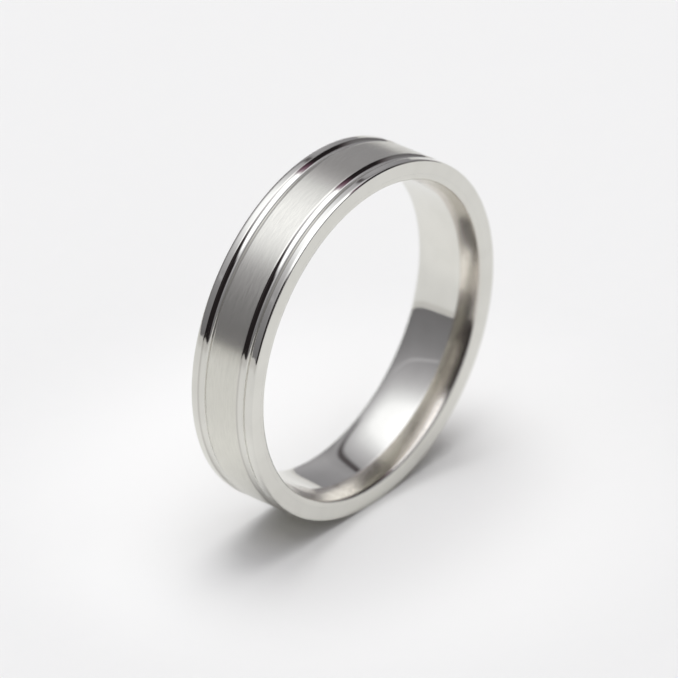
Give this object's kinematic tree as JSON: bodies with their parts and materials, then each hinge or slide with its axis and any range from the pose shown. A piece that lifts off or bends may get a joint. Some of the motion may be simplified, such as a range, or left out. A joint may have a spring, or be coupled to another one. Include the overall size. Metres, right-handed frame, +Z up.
{
  "type": "wedding band",
  "caption": "Plain finger ring with a satin centre between polished grooves and edges, flat side faces and a rounded comfort-fit bore.",
  "frame": {"origin": "centre of the ring, on its axis at mid width", "axes": "+Y along the finger's axis towards the rear side face, so the front side face looks along -Y; +Z up with the ring standing on its edge; +X to the right seen from the front"},
  "size_m": [0.0196, 0.004, 0.0196],
  "materials": {
    "mirror_bore": "mirror polished white metal",
    "satin_centre": "fine circumferential satin grain",
    "polished_edge": "polished white metal"
  },
  "bodies": {
    "root": {"comfort_fit_sleeve": "mirror_bore", "satin_centre_band": "satin_centre", "front_edge_ring": "polished_edge", "rear_edge_ring": "polished_edge"}
  },
  "joints": []
}
